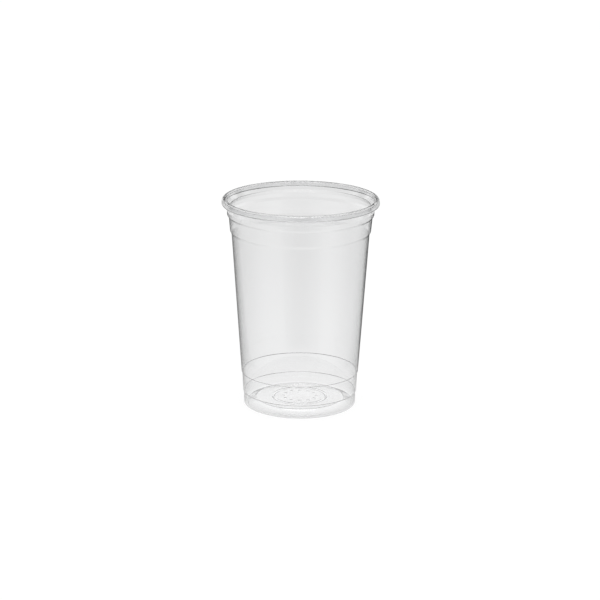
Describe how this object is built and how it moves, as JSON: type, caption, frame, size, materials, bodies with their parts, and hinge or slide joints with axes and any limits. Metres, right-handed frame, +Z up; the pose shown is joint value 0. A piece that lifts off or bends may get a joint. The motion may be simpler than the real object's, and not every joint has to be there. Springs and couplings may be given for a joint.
{
  "type": "plastic disposable cup",
  "caption": "Tapered clear plastic drinking cup with a rolled rim, a stepped neck and foot, and a recessed base.",
  "frame": {"origin": "middle of the foot, on the surface the cup stands on", "axes": "+Z up along the cup's axis, towards its open mouth; X and Y are alike, because the cup is round"},
  "size_m": [0.0949, 0.0948, 0.128],
  "materials": {
    "clear_plastic": "clear, glossy and colourless, formed from thin sheet"
  },
  "bodies": {
    "root": {"cup": "clear_plastic"}
  },
  "joints": []
}
